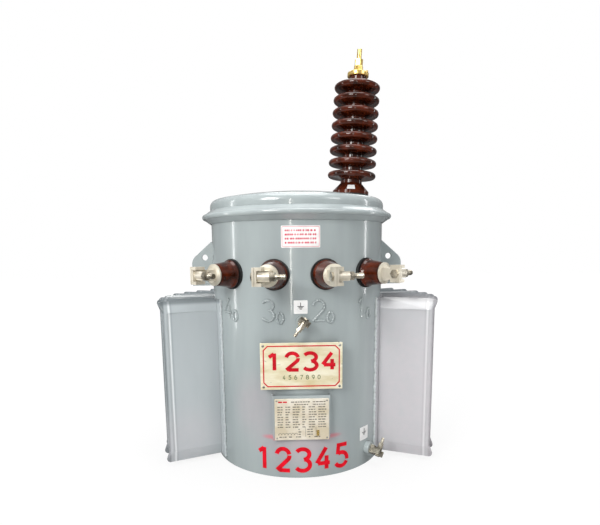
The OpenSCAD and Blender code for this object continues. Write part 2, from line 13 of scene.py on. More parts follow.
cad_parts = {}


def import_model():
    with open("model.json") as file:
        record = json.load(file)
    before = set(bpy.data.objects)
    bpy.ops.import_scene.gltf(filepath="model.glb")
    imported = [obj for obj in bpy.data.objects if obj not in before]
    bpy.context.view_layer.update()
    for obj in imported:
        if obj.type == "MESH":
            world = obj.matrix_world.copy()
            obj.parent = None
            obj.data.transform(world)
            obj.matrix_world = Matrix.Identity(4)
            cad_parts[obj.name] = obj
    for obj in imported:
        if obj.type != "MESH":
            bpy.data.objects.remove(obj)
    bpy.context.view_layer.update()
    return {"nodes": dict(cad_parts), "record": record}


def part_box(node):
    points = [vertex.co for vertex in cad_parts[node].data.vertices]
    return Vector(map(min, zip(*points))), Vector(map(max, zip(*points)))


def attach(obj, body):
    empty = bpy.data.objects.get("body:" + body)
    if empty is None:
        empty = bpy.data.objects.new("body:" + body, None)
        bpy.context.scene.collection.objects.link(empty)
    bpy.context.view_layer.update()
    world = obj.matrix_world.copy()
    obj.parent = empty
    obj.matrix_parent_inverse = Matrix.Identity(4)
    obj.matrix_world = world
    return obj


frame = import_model()
nodes = frame["nodes"]
rng = random.Random(7)

MM = 0.001
BODY = "root"
SHARP_DEG = 35

# Tank and fins. SHEET_REACH is how far the fin sheets stand out from the tank wall.
SHEET_REACH = 4.7 * MM
TANK_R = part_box("fin_sheet_right")[1][0] - SHEET_REACH
FIN_TIP_R = 388 * MM
FIN_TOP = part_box("fins_left")[1][2]
FIN_FRONT_AZ = 66.5

# Printed marks are thin skins. Strokes that cross are lifted in turn, so that no two faces share a plane.
DECAL_LOW = 0.05 * MM
DECAL_T = 0.35 * MM
LIFT = 0.06 * MM
PLATE_T = 2 * MM
PLATE_GAP = 0.2 * MM
PLATE_X = 1 * MM

# Flank of the high voltage bushing's foot: radii and heights above its seat. HV_TILT is its lean in degrees.
FOOT_R, NECK_R, FOOT_Z, NECK_Z = 50.5 * MM, 30 * MM, 8 * MM, 30 * MM
HV_TILT = 3.4

# Wire clamp bolts
LV_COUNT = 4
THREAD_LEN, THREAD_PITCH, THREAD_H = 15 * MM, 1.75 * MM, 0.45 * MM
THREAD_STEPS = 20
THREAD_FLANK = 0.45 * THREAD_PITCH
THREAD_SINK = 0.1 * MM
TIP_DEPTH = 0.1 * MM


# Geometry helpers
def add_mesh(name, verts, faces, material):
    """A smooth shaded mesh piece of the object, riding on the one body."""
    mesh = bpy.data.meshes.new(name)
    mesh.from_pydata([tuple(v) for v in verts], [], faces)
    mesh.validate()
    mesh.update()
    for polygon in mesh.polygons:
        polygon.use_smooth = True
    obj = bpy.data.objects.new(name, mesh)
    bpy.context.scene.collection.objects.link(obj)
    mesh.materials.append(material)
    mesh.set_sharp_from_angle(angle=math.radians(SHARP_DEG))
    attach(obj, BODY)


class Shape:
    """Collects closed solids into one mesh."""

    def __init__(self):
        self.verts, self.faces = [], []

    def add(self, verts, faces):
        start = len(self.verts)
        self.verts += [Vector(v) for v in verts]
        self.faces += [[start + i for i in face] for face in faces]

    def loft(self, rings, closed=False):
        """Joins rings of equal length, with a cap at each end unless the last ring meets the first."""
        n = len(rings[0])
        verts = [p for ring in rings for p in ring]
        faces = []
        for k in range(len(rings) if closed else len(rings) - 1):
            a, b = k * n, (k + 1) % len(rings) * n
            faces += [[a + i, a + (i + 1) % n, b + (i + 1) % n, b + i] for i in range(n)]
        if not closed:
            faces += [list(range(n - 1, -1, -1)), [len(verts) - n + i for i in range(n)]]
        self.add(verts, faces)

    def build(self, name, material):
        add_mesh(name, self.verts, self.faces, material)


def polar(az, radius, z):
    a = math.radians(az)
    return Vector((radius * math.sin(a), -radius * math.cos(a), z))


def on_tank(az, z):
    """Place function on the round tank wall about a middle point."""
    def place(u, v, out):
        return polar(az + math.degrees(u / TANK_R), TANK_R + out, z + v)
    return place


def on_plane(x, y, z):
    """Place function on an upright plane that faces the front."""
    def place(u, v, out):
        return Vector((x + u, y - out, z + v))
    return place


def arc(cx, cy, rx, ry, start, end, steps=14):
    """Points of an elliptic arc between two angles in degrees."""
    angles = [math.radians(start + (end - start) * i / steps) for i in range(steps + 1)]
    return [(cx + rx * math.cos(a), cy + ry * math.sin(a)) for a in angles]


def dense(path, step):
    """The same path with points no further apart than step."""
    out = [path[0]]
    for a, b in zip(path, path[1:]):
        n = max(1, math.ceil(math.dist(a, b) / step))
        out += [tuple(p + (q - p) * i / n for p, q in zip(a, b)) for i in range(1, n + 1)]
    return out


def path_normals(path, closed=False):
    """A unit normal and a mitre factor, two at most, at each point of a plane path."""
    result = []
    n = len(path)
    for i in range(n):
        before = path[i - 1] if i or closed else path[i]
        after = path[(i + 1) % n] if i < n - 1 or closed else path[i]
        d1 = Vector(path[i]) - Vector(before) if before != path[i] else Vector(after) - Vector(path[i])
        d2 = Vector(after) - Vector(path[i]) if after != path[i] else d1
        t = (d1.normalized() + d2.normalized()).normalized()
        mitre = 1 / max(0.5, t.dot(d2.normalized()))
        result.append((Vector((-t.y, t.x)), mitre))
    return result


def ribbon(shape, path, width, place, low, high, closed=False):
    """A flat stroke of the given width along a plane path, from height low to high."""
    rings = []
    for point, (normal, mitre) in zip(path, path_normals(path, closed)):
        a = Vector(point) + normal * width / 2 * mitre
        b = Vector(point) - normal * width / 2 * mitre
        rings.append([place(a.x, a.y, low), place(b.x, b.y, low),
                      place(b.x, b.y, high), place(a.x, a.y, high)])
    shape.loft(rings, closed)


def tube(shape, path, radius, place, out=0.0, sides=8):
    """A rounded bead along a plane path. radius is a function of the point's index."""
    rings = []
    for i, (point, (normal, _)) in enumerate(zip(path, path_normals(path))):
        ring = []
        for k in range(sides):
            a = 2 * math.pi * k / sides
            p = Vector(point) + normal * radius(i) * math.cos(a)
            ring.append(place(p.x, p.y, out + radius(i) * math.sin(a)))
        rings.append(ring)
    shape.loft(rings)


def revolve(shape, profile, place, sides):
    """Turns a profile of (radius, out) about the out axis. It starts and ends near the axis."""
    rings = [[place(r * math.cos(2 * math.pi * k / sides), r * math.sin(2 * math.pi * k / sides), h)
              for k in range(sides)] for r, h in profile]
    shape.loft(rings)


def rounded_rect(w, h, r, steps=5):
    """Outline of a rectangle with round corners, counter clockwise."""
    points = []
    for cx, cy, start in ((1, 1, 0), (-1, 1, 90), (-1, -1, 180), (1, -1, 270)):
        points += arc(cx * (w / 2 - r), cy * (h / 2 - r), r, r, start, start + 90, steps)
    return points


def sheet(shape, w, h, r, place, low, high, step=10 * MM, corner_steps=4):
    """A thin rectangular sheet with round corners, cut into strips so that it follows a round wall."""
    n = max(1, round(w / step))
    insets = [r * (1 - math.cos(math.pi / 2 * i / corner_steps)) for i in range(corner_steps + 1)]
    columns = sorted({-w / 2 + inset for inset in insets}
                     | {-w / 2 + r + (w - 2 * r) * i / n for i in range(n + 1)}
                     | {w / 2 - inset for inset in insets})
    rings = []
    for u in columns:
        inset = max(0.0, abs(u) - (w / 2 - r))
        half = h / 2 - r + math.sqrt(max(0.0, r * r - inset * inset))
        rings.append([place(u, -half, low), place(u, half, low), place(u, half, high), place(u, -half, high)])
    shape.loft(rings)


# Strokes of the plain digits, in a box DIGIT_W wide and 1 high
DIGIT_W = 0.62
DIGITS = {
    "0": [arc(0.31, 0.5, 0.31, 0.5, 95, 265), arc(0.31, 0.5, 0.31, 0.5, -85, 85)],
    "1": [[(0.34, 1.0), (0.34, 0.0)], [(0.08, 0.78), (0.32, 0.97)]],
    "2": [arc(0.31, 0.7, 0.29, 0.3, 170, 10), arc(0.31, 0.7, 0.29, 0.3, 0, -35) + [(0.02, 0.0)],
          [(0.12, 0.0), (0.62, 0.0)]],
    "3": [arc(0.28, 0.75, 0.3, 0.25, 150, -80), arc(0.28, 0.26, 0.33, 0.27, 75, -150)],
    "4": [[(0.44, 1.0), (0.0, 0.3)], [(0.06, 0.28), (0.62, 0.28)], [(0.46, 0.62), (0.46, 0.36)],
          [(0.46, 0.2), (0.46, 0.0)]],
    "5": [[(0.58, 1.0), (0.14, 1.0), (0.1, 0.58)], arc(0.28, 0.32, 0.32, 0.32, 118, -10),
          arc(0.28, 0.32, 0.32, 0.32, -24, -150)],
    "6": [arc(0.5, 0.36, 0.48, 0.64, 96, 165), arc(0.31, 0.3, 0.3, 0.3, 170, 525, 22)],
    "7": [[(0.0, 1.0), (0.6, 1.0), (0.38, 0.5)], [(0.34, 0.42), (0.18, 0.0)]],
    "8": [arc(0.31, 0.75, 0.26, 0.25, -90, 270, 22), arc(0.31, 0.26, 0.31, 0.26, 90, 450, 22)],
    "9": [arc(0.31, 0.7, 0.3, 0.3, -10, 345, 22), arc(0.12, 0.64, 0.48, 0.64, -5, -75)],
}


def digit_strokes(text, height, gap, stretch=1.0):
    """Plane strokes of a row of digits about its middle, gap between digits in metres."""
    w = DIGIT_W * height * stretch
    total = len(text) * w + (len(text) - 1) * gap
    strokes = []
    for i, char in enumerate(text):
        x0 = -total / 2 + i * (w + gap)
        for stroke in DIGITS[char]:
            strokes.append([(x0 + x * height * stretch, (y - 0.5) * height) for x, y in stroke])
    return strokes


# Shader helpers
def new_material(name):
    mat = bpy.data.materials.new(name)
    mat.use_nodes = True
    tree = mat.node_tree
    return mat, tree, tree.nodes["Principled BSDF"]


def node(tree, kind, **sockets):
    item = tree.nodes.new(kind)
    for key, value in sockets.items():
        item.inputs[key.replace("_", " ")].default_value = value
    return item


def position(tree):
    """The point on the piece, in its own coordinates."""
    return tree.nodes.new("ShaderNodeTexCoord").outputs["Object"]


def scaled(tree, stretch, location=(0, 0, 0)):
    """The point on the piece, stretched and then moved."""
    mapping = node(tree, "ShaderNodeMapping", Scale=stretch, Location=location)
    tree.links.new(position(tree), mapping.inputs["Vector"])
    return mapping.outputs["Vector"]


def length_of(tree, vector):
    item = tree.nodes.new("ShaderNodeVectorMath")
    item.operation = "LENGTH"
    tree.links.new(vector, item.inputs[0])
    return item.outputs["Value"]


def combine(tree, operation, first, second):
    """Two values joined by an arithmetic operation."""
    item = tree.nodes.new("ShaderNodeMath")
    item.operation = operation
    tree.links.new(first, item.inputs[0])
    tree.links.new(second, item.inputs[1])
    return item.outputs["Value"]


def noise(tree, scale, detail=3.0, stretch=(1, 1, 1)):
    """Noise over the piece's own coordinates."""
    item = node(tree, "ShaderNodeTexNoise", Scale=scale, Detail=detail)
    tree.links.new(scaled(tree, stretch), item.inputs["Vector"])
    return item.outputs["Fac"]


def ramp(tree, source, low, high, a=0.35, b=0.65):
    """Colours from low to high over a value's middle range."""
    item = tree.nodes.new("ShaderNodeValToRGB")
    for element, place, colour in zip(item.color_ramp.elements, (a, b), (low, high)):
        element.position = place
        element.color = (*colour, 1)
    tree.links.new(source, item.inputs["Fac"])
    return item.outputs["Color"]


def spread(tree, source, low, high, start=0.0, end=1.0, smooth=False):
    """A value stretched from start..end to low..high."""
    item = node(tree, "ShaderNodeMapRange", From_Min=start, From_Max=end, To_Min=low, To_Max=high)
    if smooth:
        item.interpolation_type = "SMOOTHSTEP"
    tree.links.new(source, item.inputs["Value"])
    return item.outputs["Result"]


def blend(tree, base, colour, factor):
    """Base colour mixed with another by a factor socket."""
    mix = tree.nodes.new("ShaderNodeMix")
    mix.data_type = "RGBA"
    mix.inputs["B"].default_value = (*colour, 1)
    tree.links.new(factor, mix.inputs["Factor"])
    tree.links.new(base, mix.inputs["A"])
    return mix.outputs["Result"]


def bump(tree, source, strength, distance, shader):
    item = node(tree, "ShaderNodeBump", Strength=strength, Distance=distance)
    tree.links.new(source, item.inputs["Height"])
    tree.links.new(item.outputs["Normal"], shader.inputs["Normal"])


def srgb(r, g, b):
    """Linear colour from 8 bit sRGB values."""
    shares = (r / 255, g / 255, b / 255)
    return tuple(c / 12.92 if c <= 0.04045 else ((c + 0.055) / 1.055) ** 2.4 for c in shares)


# Materials
def surface(name, dark, light, roughness, metallic=0.0, scale=60.0, stretch=(1, 1, 1), rough_spread=0.06,
            grain=0.0, coat=0.0, specular=0.5):
    """A plain procedural surface: mottled colour, uneven gloss and fine grain."""
    mat, tree, shader = new_material(name)
    fine_share = 3.1
    mottle = noise(tree, scale, detail=4.0, stretch=stretch)
    fine = noise(tree, scale * fine_share, detail=2.0, stretch=stretch)
    gloss = spread(tree, fine, roughness - rough_spread, roughness + rough_spread)
    tree.links.new(ramp(tree, mottle, dark, light), shader.inputs["Base Color"])
    tree.links.new(gloss, shader.inputs["Roughness"])
    shader.inputs["Metallic"].default_value = metallic
    shader.inputs["Specular IOR Level"].default_value = specular
    shader.inputs["Coat Weight"].default_value = coat
    shader.inputs["Coat Roughness"].default_value = 0.05
    if grain:
        bump(tree, fine, strength=grain, distance=0.3 * MM, shader=shader)
    return mat


def tint(tree, base, colour, centre, radius, strength, stretch=(1, 1, 1)):
    """Mist of another colour around a point on the piece, broken up by noise: overspray on the tank, painted
    light on the fins.
    """
    offset = tuple(-c * s for c, s in zip(centre, stretch))
    away = length_of(tree, scaled(tree, stretch, offset))
    core = 0.15 * radius
    fade = spread(tree, away, 0.0, strength, radius, core, smooth=True)
    speckle = spread(tree, noise(tree, scale=55.0, detail=6.0), 0.55, 1.25)
    return blend(tree, base, colour, combine(tree, "MULTIPLY", fade, speckle))


# Colours of the painted highlight and the painted shade along the fins' edges
FIN_GLINT = srgb(226, 231, 233)
FIN_CREASE_SHADE = srgb(142, 150, 154)
FIN_EDGE_SHADE = srgb(92, 100, 104)
# Painted highlight and shade near a fin's tip and top: where each band begins and ends in mm short of it, its
# colour and share
TIP_BANDS = (
    (25, 21, FIN_CREASE_SHADE, 0.5),
    (20, 17, FIN_GLINT, 0.8),
    (15, 11, FIN_CREASE_SHADE, 0.75),
    (6, 1, FIN_EDGE_SHADE, 0.75),
)
TOP_BANDS = ((14, 3, FIN_EDGE_SHADE, 0.7),)


def fin_edges(tree, base):
    """Painted shade in the crease beside each fin's tip bead and on the bead, a painted highlight where the
    bead begins, and painted shade along the outer edges of its tip and top.
    """
    axes = tree.nodes.new("ShaderNodeSeparateXYZ")
    tree.links.new(position(tree), axes.inputs["Vector"])
    plan = tree.nodes.new("ShaderNodeCombineXYZ")
    tree.links.new(axes.outputs["X"], plan.inputs["X"])
    tree.links.new(axes.outputs["Y"], plan.inputs["Y"])
    reach = length_of(tree, plan.outputs["Vector"])
    for source, limit, bands in ((reach, FIN_TIP_R, TIP_BANDS), (axes.outputs["Z"], FIN_TOP, TOP_BANDS)):
        for start, end, colour, share in bands:
            fade = spread(tree, source, 0.0, share, limit - start * MM, limit - end * MM, smooth=True)
            base = blend(tree, base, colour, fade)
    return base


def paint_material(name, dark, light, mists_and_light=(), coat=0.55, edges=False):
    """Sprayed grey enamel: faint runs and cloudiness, orange peel and soft gloss."""
    mat, tree, shader = new_material(name)
    clouds = noise(tree, scale=7.0, detail=5.0, stretch=(1, 1, 0.22))
    colour = ramp(tree, clouds, dark, light, 0.3, 0.7)
    # On the fins: painted highlight and painted shade along the tip bead and top seam
    if edges:
        colour = fin_edges(tree, colour)
    # Overspray on the tank, and painted light on the fins
    for mist_and_light in mists_and_light:
        colour = tint(tree, colour, *mist_and_light)
    gloss = spread(tree, noise(tree, scale=30.0), 0.17, 0.27)
    tree.links.new(colour, shader.inputs["Base Color"])
    tree.links.new(gloss, shader.inputs["Roughness"])
    shader.inputs["Coat Weight"].default_value = coat
    shader.inputs["Coat Roughness"].default_value = 0.06
    peel = noise(tree, scale=160.0, detail=2.0)
    bump(tree, peel, strength=0.05, distance=0.4 * MM, shader=shader)
    return mat


# Overspray on the tank and painted light on the fins: colour, middle, radius, strength and stretch of each
# patch
PINK = srgb(196, 168, 178)
# Paler paint for the painted light on the fins
FIN_PAINTED_LIGHT = srgb(200, 192, 197)
MIST_RED = srgb(205, 90, 105)
TANK_MISTS = (
    (MIST_RED, polar(-18, TANK_R, 0.107), 0.036, 0.8, (1, 1, 4.0)),
    (MIST_RED, polar(19, TANK_R, 0.107), 0.036, 0.7, (1, 1, 4.0)),
    (PINK, polar(0, TANK_R, 0.085), 0.15, 0.35, (1, 1, 2.0)),
    (PINK, polar(-30, TANK_R, 0.18), 0.09, 0.22, (1, 1, 0.7)),
)
# Painted light: the right fin paler all over where light falls on it, and a paler patch low on the left fin
FIN_LIGHT_PATCHES = (
    (FIN_PAINTED_LIGHT, polar(FIN_FRONT_AZ, 0.34, 0.16), 0.34, 0.6, (1, 1, 0.6)),
    (FIN_PAINTED_LIGHT, polar(-FIN_FRONT_AZ, 0.34, 0.07), 0.14, 0.3, (1, 1, 1)),
)

PAINT = paint_material("grey_enamel", srgb(141, 150, 152), srgb(167, 176, 177), TANK_MISTS)
FIN_PAINT = paint_material("fin_enamel", srgb(164, 172, 176), srgb(180, 187, 190), FIN_LIGHT_PATCHES,
                           coat=0.15, edges=True)
# A paler copy of the grey enamel for the fin sheet welds: painted highlight
LIT_BEAD_PAINT = paint_material("weld_enamel_painted_highlight", srgb(176, 184, 187), srgb(200, 206, 208))
GLAZE = surface("brown_glaze", srgb(40, 14, 5), srgb(88, 34, 15), roughness=0.09, scale=40.0,
                rough_spread=0.03, coat=0.12, specular=0.4)
RUBBER = surface("black_rubber", srgb(12, 12, 12), srgb(30, 30, 30), roughness=0.55, scale=90.0, grain=0.1)
BRONZE = surface("tinned_bronze", srgb(196, 189, 172), srgb(228, 221, 205), roughness=0.30, metallic=0.4,
                 scale=26.0, grain=0.08)
BRASS = surface("brass", srgb(222, 184, 100), srgb(244, 216, 142), roughness=0.28, metallic=0.85, grain=0.08)
WORN_BRONZE = surface("worn_bronze", srgb(112, 106, 94), srgb(222, 214, 196), roughness=0.26, metallic=0.75,
                      scale=34.0, grain=0.15)
STEEL = surface("bolt_steel", srgb(140, 140, 138), srgb(186, 186, 182), roughness=0.38, metallic=0.9,
                scale=90.0, grain=0.1)
GOLD_PLATE = surface("brushed_gold_plate", srgb(224, 211, 168), srgb(252, 246, 222), roughness=0.30,
                     metallic=0.35, scale=16.0, stretch=(1, 1, 3))
DATA_PLATE = surface("etched_data_plate", srgb(220, 208, 182), srgb(248, 241, 228), roughness=0.34,
                     metallic=0.35, scale=22.0, stretch=(1, 1, 1.5))
RED_INK = surface("red_ink", srgb(176, 8, 28), srgb(204, 18, 38), roughness=0.45, scale=70.0, specular=0.15)
RED_SPRAY = surface("red_spray", srgb(190, 0, 24), srgb(222, 8, 36), roughness=0.5, scale=70.0, specular=0.15)
LABEL_INK = surface("label_ink", srgb(196, 44, 74), srgb(214, 72, 100), roughness=0.5, scale=90.0,
                    specular=0.15)
GREEN_INK = surface("green_ink", srgb(92, 104, 62), srgb(120, 128, 84), roughness=0.5, scale=70.0)
DARK_INK = surface("dark_ink", srgb(92, 88, 78), srgb(130, 124, 108), roughness=0.5, scale=120.0)
BLACK_INK = surface("black_ink", srgb(28, 28, 30), srgb(50, 50, 52), roughness=0.5, scale=120.0)
PAPER = surface("white_label", srgb(226, 226, 226), srgb(242, 242, 242), roughness=0.42, scale=50.0)

NODE_MATERIALS = {
    "tank_paint": PAINT, "brown_glaze": GLAZE, "black_rubber": RUBBER, "tinned_bronze": BRONZE,
    "terminal_brass": BRASS, "bolt_steel": STEEL,
}
WORN_NODES = ("lv1_bolt", "lv2_bolt", "lv3_bolt", "lv4_bolt", "earth_clamps")
FIN_NODES = ("fins_left", "fins_right", "fin_sheet_left", "fin_sheet_right")


def dress_nodes():
    """Gives every CAD node its material."""
    slots = {part["node"]: part["material_slot"] for part in frame["record"]["subparts"]}
    for name, obj in nodes.items():
        material = NODE_MATERIALS[slots[name]]
        if name in FIN_NODES:
            material = FIN_PAINT
        if name in WORN_NODES:
            material = WORN_BRONZE
        obj.data.materials.clear()
        obj.data.materials.append(material)


# Weld beads
def ripple(size, swell=0.22, pace=1.9, drift=0.12, drift_pace=0.7):
    """Radius of a hand laid bead at each point of its path."""
    return lambda i: size * (1 + swell * math.sin(i * pace) + drift * math.sin(i * drift_pace))


def straight_bead(shape, az, low, high, size, out, u=0.0, step=2.5 * MM):
    """An upright bead on the tank wall, u to the right of an azimuth, between two heights."""
    tube(shape, dense([(u, low), (u, high)], step), ripple(size), on_tank(az, 0), out)


def sheet_welds(side, label, edges_az=(58.9, 139.9), points=130):
    """Wavy beads along both upright edges of a fin sheet."""
    low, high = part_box("fin_sheet_left")[0][2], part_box("fin_sheet_left")[1][2]
    heights = [low + (high - low) * i / points for i in range(points + 1)]
    sway, sway_pace = 1.2 * MM, 210
    drift, drift_pace = 0.8 * MM, 87
    wave = [(sway * math.sin(z * sway_pace) + drift * math.sin(z * drift_pace), z) for z in heights]
    shape = Shape()
    for az in edges_az:
        tube(shape, wave, ripple(3.3 * MM), on_tank(side * az, 0), out=2.0 * MM)
    shape.build("weld_fin_sheet_" + label, LIT_BEAD_PAINT)


def lug_welds(side, label, face_u=5.2 * MM):
    """Beads on both faces of a lifting lug."""
    low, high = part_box("lifting_lug_" + label)
    shape = Shape()
    for face in (-1, 1):
        straight_bead(shape, side * 90, low[2], high[2], size=2.4 * MM, out=0.8 * MM, u=face * face_u)
    shape.build("weld_lug_" + label, PAINT)


def hanger_welds(label, inset=2 * MM):
    """Beads down both sides of a pole hanger."""
    low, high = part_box("hanger_" + label)
    turn = math.degrees(math.asin((high[0] - low[0]) / 2 / TANK_R))
    shape = Shape()
    for side in (-1, 1):
        straight_bead(shape, 180 + side * turn, low[2] + inset, high[2] - inset, size=3 * MM, out=1.0 * MM)
    shape.build("weld_hanger_" + label, PAINT)


def bracket_welds(label, length=9 * MM):
    """Short beads at the four corners of a plate bracket."""
    low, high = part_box(label + "_bracket")
    shape = Shape()
    for x in (low[0], high[0]):
        turn = math.degrees(math.asin(x / TANK_R))
        for z, inward in ((low[2], length), (high[2], -length)):
            straight_bead(shape, turn, z, z + inward, size=2.6 * MM, out=0.6 * MM, step=2 * MM)
    shape.build("weld_bracket_" + label, PAINT)


def weld_beads():
    """The beads that hold the tank's fittings."""
    for side, label in ((-1, "left"), (1, "right")):
        sheet_welds(side, label)
        lug_welds(side, label)
    for label in ("upper", "lower"):
        hanger_welds(label)
    for label in ("name", "rating"):
        bracket_welds(label)


# Numbers laid in weld: azimuth and large digit of each, and the height of their row
WELD_NUMBERS = ((-47.5, "4"), (-16.2, "3"), (13.6, "2"), (44, "1"))
WELD_NUMBER_Z = 0.428
# Height of a digit, and how far its middle lies to the right and up
LARGE_DIGIT = (50 * MM, -12 * MM, 4 * MM)
SMALL_DIGIT = (26 * MM, 18 * MM, -14 * MM)


def weld_numbers():
    """Plain numbers laid in weld on the wall under the bushings, a large digit and a small one."""
    bead = ripple(3.1 * MM, swell=0.2, pace=1.7, drift=0)
    for i, (az, large) in enumerate(WELD_NUMBERS):
        shape = Shape()
        for text, (height, right, up) in ((large, LARGE_DIGIT), ("0", SMALL_DIGIT)):
            for stroke in digit_strokes(text, height, gap=0):
                path = dense([(u + right, v + up) for u, v in stroke], 2.2 * MM)
                tube(shape, path, bead, on_tank(az, WELD_NUMBER_Z), out=0.8 * MM, sides=10)
        shape.build("weld_number_%d" % (i + 1), PAINT)


# Paint marks and labels
def stencil(az=1, z=0.0485):
    """Sprayed stencil digits near the foot of the tank."""
    shape = Shape()
    stroke_w = 10.8 * MM
    for i, stroke in enumerate(digit_strokes("12345", height=58 * MM, gap=17 * MM, stretch=0.98)):
        ribbon(shape, dense(stroke, 3 * MM), stroke_w, on_tank(az, z), DECAL_LOW, DECAL_T + i % 2 * LIFT)
    shape.build("stencil_digits", RED_SPRAY)


def label(name, az, z, w, h, r=2 * MM):
    """A white label on the tank wall."""
    shape = Shape()
    sheet(shape, w, h, r, on_tank(az, z), DECAL_LOW, DECAL_T)
    shape.build(name, PAPER)


def white_label(az=0.55, z=0.610, w=94 * MM, h=52 * MM):
    """White label with a thin red frame and four rows of red dashes."""
    label("cover_label", az, z, w, h)
    shape = Shape()
    place = on_tank(az, z)
    margin = 5 * MM
    edge = dense(rounded_rect(w - margin, h - margin, 2 * MM), 6 * MM)[:-1]
    frame_w = 0.8 * MM
    ribbon(shape, edge, frame_w, place, DECAL_T, 2 * DECAL_T, True)
    row_start, last_start, row_end = -38 * MM, 36 * MM, 39 * MM
    top_row, row_pitch, row_h = 14.5 * MM, 9.6 * MM, 4.2 * MM
    for row in range(4):
        v = top_row - row * row_pitch
        u = row_start
        while u < last_start:
            length = min(rng.uniform(2.2, 5) * MM, row_end - u)
            ribbon(shape, dense([(u, v), (u + length, v)], 4 * MM), row_h, place, DECAL_T, 2 * DECAL_T)
            u += length + rng.choice((1.4, 1.4, 3.6)) * MM
    shape.build("cover_label_lines", LABEL_INK)


def earth_symbol(name, place, size):
    """The general earth sign: a stem over three bars, each shorter than the one above."""
    stem_h, stem_w = size * 0.5, size * 0.09
    bar_pitch, bar_w = size * 0.17, size * 0.085
    shape = Shape()
    ribbon(shape, [(0, stem_h), (0, 0)], stem_w, place, DECAL_T, 2 * DECAL_T + LIFT)
    for row, share in enumerate((0.42, 0.28, 0.14)):
        half, v = share * size, -row * bar_pitch
        ribbon(shape, [(-half, v), (half, v)], bar_w, place, DECAL_T, 2 * DECAL_T)
    shape.build(name, BLACK_INK)


# Earth labels: name, azimuth, heights of the label and of its sign, width and height, size of the sign
EARTH_LABELS = (
    ("front", 0.15, 0.4415, 0.443, 34 * MM, 33 * MM, 19 * MM),
    ("low", 45.5, 0.089, 0.092, 36 * MM, 37 * MM, 20 * MM),
)


def earth_labels():
    """White labels with an earth sign beside the two earth terminals."""
    for name, az, z, sign_z, w, h, size in EARTH_LABELS:
        label("earth_label_" + name, az, z, w, h)
        earth_symbol("earth_mark_" + name, on_tank(az, sign_z), size)


def foot_sticker(w=24 * MM, h=12 * MM, turn=0.12):
    """Small blank white sticker on the flank of the high voltage bushing's foot, turned in radians."""
    low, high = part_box("hv_gasket")
    tilt = math.radians(HV_TILT)
    seat = 2 * MM
    base = Vector(((low[0] + high[0]) / 2, 0, (low[2] + high[2]) / 2 + seat))
    slope = (FOOT_R - NECK_R) / (NECK_Z - FOOT_Z)
    rise = 7 * MM

    def place(u, v, out):
        height = v + FOOT_Z + rise
        radius = FOOT_R - slope * (height - FOOT_Z) + out
        a = u / FOOT_R - turn
        x, y = radius * math.sin(a), -radius * math.cos(a)
        return base + Vector((x * math.cos(tilt) + height * math.sin(tilt), y,
                              height * math.cos(tilt) - x * math.sin(tilt)))
    shape = Shape()
    sheet(shape, w, h, 1.5 * MM, place, low=0.4 * MM, high=0.9 * MM, step=2 * MM)
    shape.build("foot_sticker", PAPER)


def bolt_threads():
    """Thread on the free end of each wire clamp's bolt, a sharp ridge along a helix."""
    up = Vector((0, 0, 1))
    turns = THREAD_LEN / THREAD_PITCH
    steps = round(turns * THREAD_STEPS)
    for i in range(1, LV_COUNT + 1):
        low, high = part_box("lv%d_gasket" % i)
        az = math.atan2(low[0] + high[0], -(low[1] + high[1]))
        along = Vector((math.cos(az), math.sin(az), 0))
        bolt = nodes["lv%d_bolt" % i]
        points = [bolt.matrix_world @ v.co for v in bolt.data.vertices]
        end = max(p.dot(along) for p in points)
        tip = [p for p in points if p.dot(along) > end - TIP_DEPTH]
        centre = sum(tip, Vector()) / len(tip)
        radius = max((p - centre).length for p in tip)
        half = THREAD_FLANK * along
        rings = []
        for k in range(steps + 1):
            a = 2 * math.pi * turns * k / steps
            out = math.cos(a) * up + math.sin(a) * along.cross(up)
            root = centre - along * (THREAD_PITCH + THREAD_LEN * k / steps)
            foot = out * (radius - THREAD_SINK)
            rings.append([root - half + foot, root + out * (radius + THREAD_H), root + half + foot])
        shape = Shape()
        shape.loft(rings)
        shape.build("lv%d_bolt_thread" % i, WORN_BRONZE)


# Plates
def plate_piece(name, w, h, r, place, material, edge=0.5 * MM):
    """A flat plate with round corners and a broken front edge."""
    shape = Shape()
    outline = rounded_rect(w, h, r)
    inner = rounded_rect(w - 2 * edge, h - 2 * edge, r - edge)
    shape.loft([[place(u, v, 0) for u, v in outline], [place(u, v, PLATE_T - edge) for u, v in outline],
                [place(u, v, PLATE_T) for u, v in inner]])
    shape.build(name, material)


def corner_screws(name, w, h, inset, place, radius):
    """Domed screw heads with a slot at a plate's corners, on its front face."""
    shape = Shape()
    rim, dome = radius * 0.15, radius * 0.45
    slot_half, slot_w = radius * 0.75, radius * 0.22
    slot_low, slot_high = radius * 0.5, radius * 0.64
    profile = [(0.3 * MM, 0), (radius, 0)]
    for a in (math.radians(degrees) for degrees in (0, 25, 50, 70)):
        profile.append((radius * math.cos(a), rim + dome * math.sin(a)))
    profile.append((0.1 * MM, rim + dome))
    for u, v in ((sx * (w / 2 - inset), sy * (h / 2 - inset)) for sx in (-1, 1) for sy in (-1, 1)):
        def head(a, b, out, u=u, v=v):
            return place(u + a, v + b, out + PLATE_T)
        revolve(shape, profile, head, sides=20)
        turn = math.radians(rng.uniform(0, 180))
        tip = (slot_half * math.cos(turn), slot_half * math.sin(turn))
        ribbon(shape, [(-tip[0], -tip[1]), tip], slot_w, head, slot_low, slot_high)
    shape.build(name, STEEL)


def plate_digits(name, text, height, gap, stretch, stroke_w, up, step, place, material):
    """A row of digits on a plate, up from its middle."""
    shape = Shape()
    for i, stroke in enumerate(digit_strokes(text, height, gap, stretch)):
        path = [(u, v + up) for u, v in dense(stroke, step)]
        ribbon(shape, path, stroke_w, place, PLATE_T, PLATE_T + DECAL_T + i % 2 * LIFT)
    shape.build(name, material)


